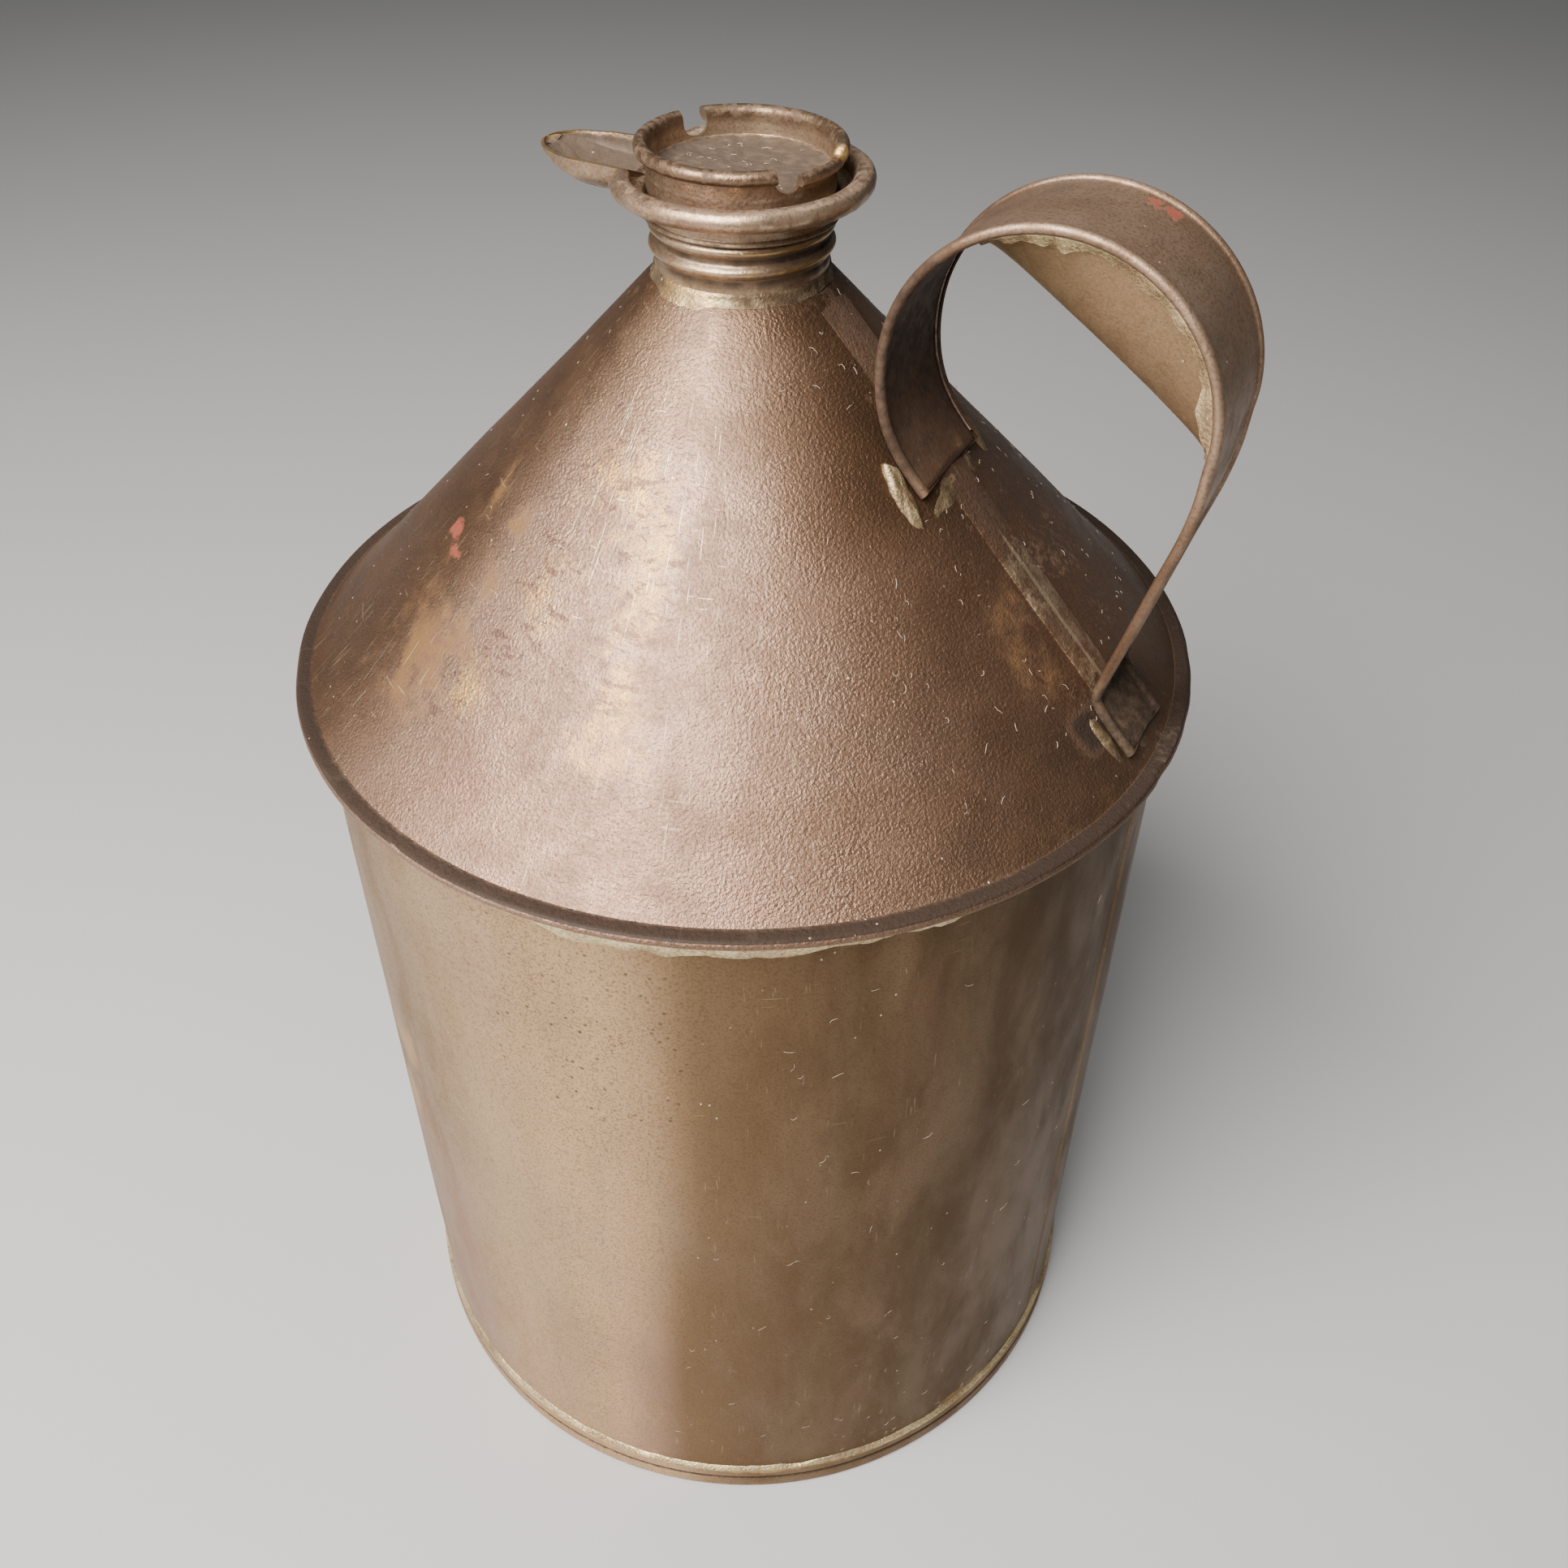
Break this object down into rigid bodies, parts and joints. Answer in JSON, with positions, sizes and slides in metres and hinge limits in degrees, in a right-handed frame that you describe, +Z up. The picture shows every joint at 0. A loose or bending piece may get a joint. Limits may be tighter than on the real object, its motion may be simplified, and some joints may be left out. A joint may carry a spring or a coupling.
{
  "type": "conical-top liquid can",
  "caption": "Sheet-metal can with a cylindrical body, conical top, strap handle with a filled grip, beaded neck, drip ring with a pouring lip, and a notched screw cap.",
  "frame": {"origin": "centre of the base, on the surface the can stands on", "axes": "+Z up along the can's axis, +X towards the handle, -X towards the pouring lip"},
  "size_m": [0.2192, 0.2192, 0.3606],
  "materials": {
    "aged_steel": "bronze-brown patina with worn and dusty patches",
    "solder": "dull, pale yellow-grey, uneven",
    "brass": "tarnished",
    "iron_wire": "dark, drawn",
    "leather": "oiled"
  },
  "bodies": {
    "can": {"body_shell": "aged_steel", "base_pan": "aged_steel", "base_solder": "solder", "cone_top": "aged_steel", "shoulder_solder": "solder", "cone_seam": "aged_steel", "neck_tube": "aged_steel", "neck_solder": "solder", "neck_ferrule": "brass", "drip_ring": "aged_steel", "pour_lip": "aged_steel", "handle_strap": "aged_steel", "hand_grip": "aged_steel", "handle_wire_near": "iron_wire", "handle_wire_far": "iron_wire", "grip_solder_near": "solder", "grip_solder_far": "solder", "upper_foot_solder_near": "solder", "upper_foot_solder_far": "solder", "lower_foot_solder_near": "solder", "lower_foot_solder_far": "solder"},
    "washer": {"cap_gasket": "leather"},
    "cap": {"screw_cap": "aged_steel"}
  },
  "joints": [
    {"name": "cap_lift", "type": "slide", "parent": "can", "child": "washer", "axis": [0, 0, 1], "range_m": [0, 0.01]},
    {"name": "cap_turn", "type": "hinge", "parent": "washer", "child": "cap", "pos_m": [0, 0, 0.349], "axis": [0, 0, 1], "range_deg": [0, 900]}
  ],
  "couplings": [
    {"joint": "cap_lift", "follows": "cap_turn", "m_per_rad": 0.00063661}
  ]
}
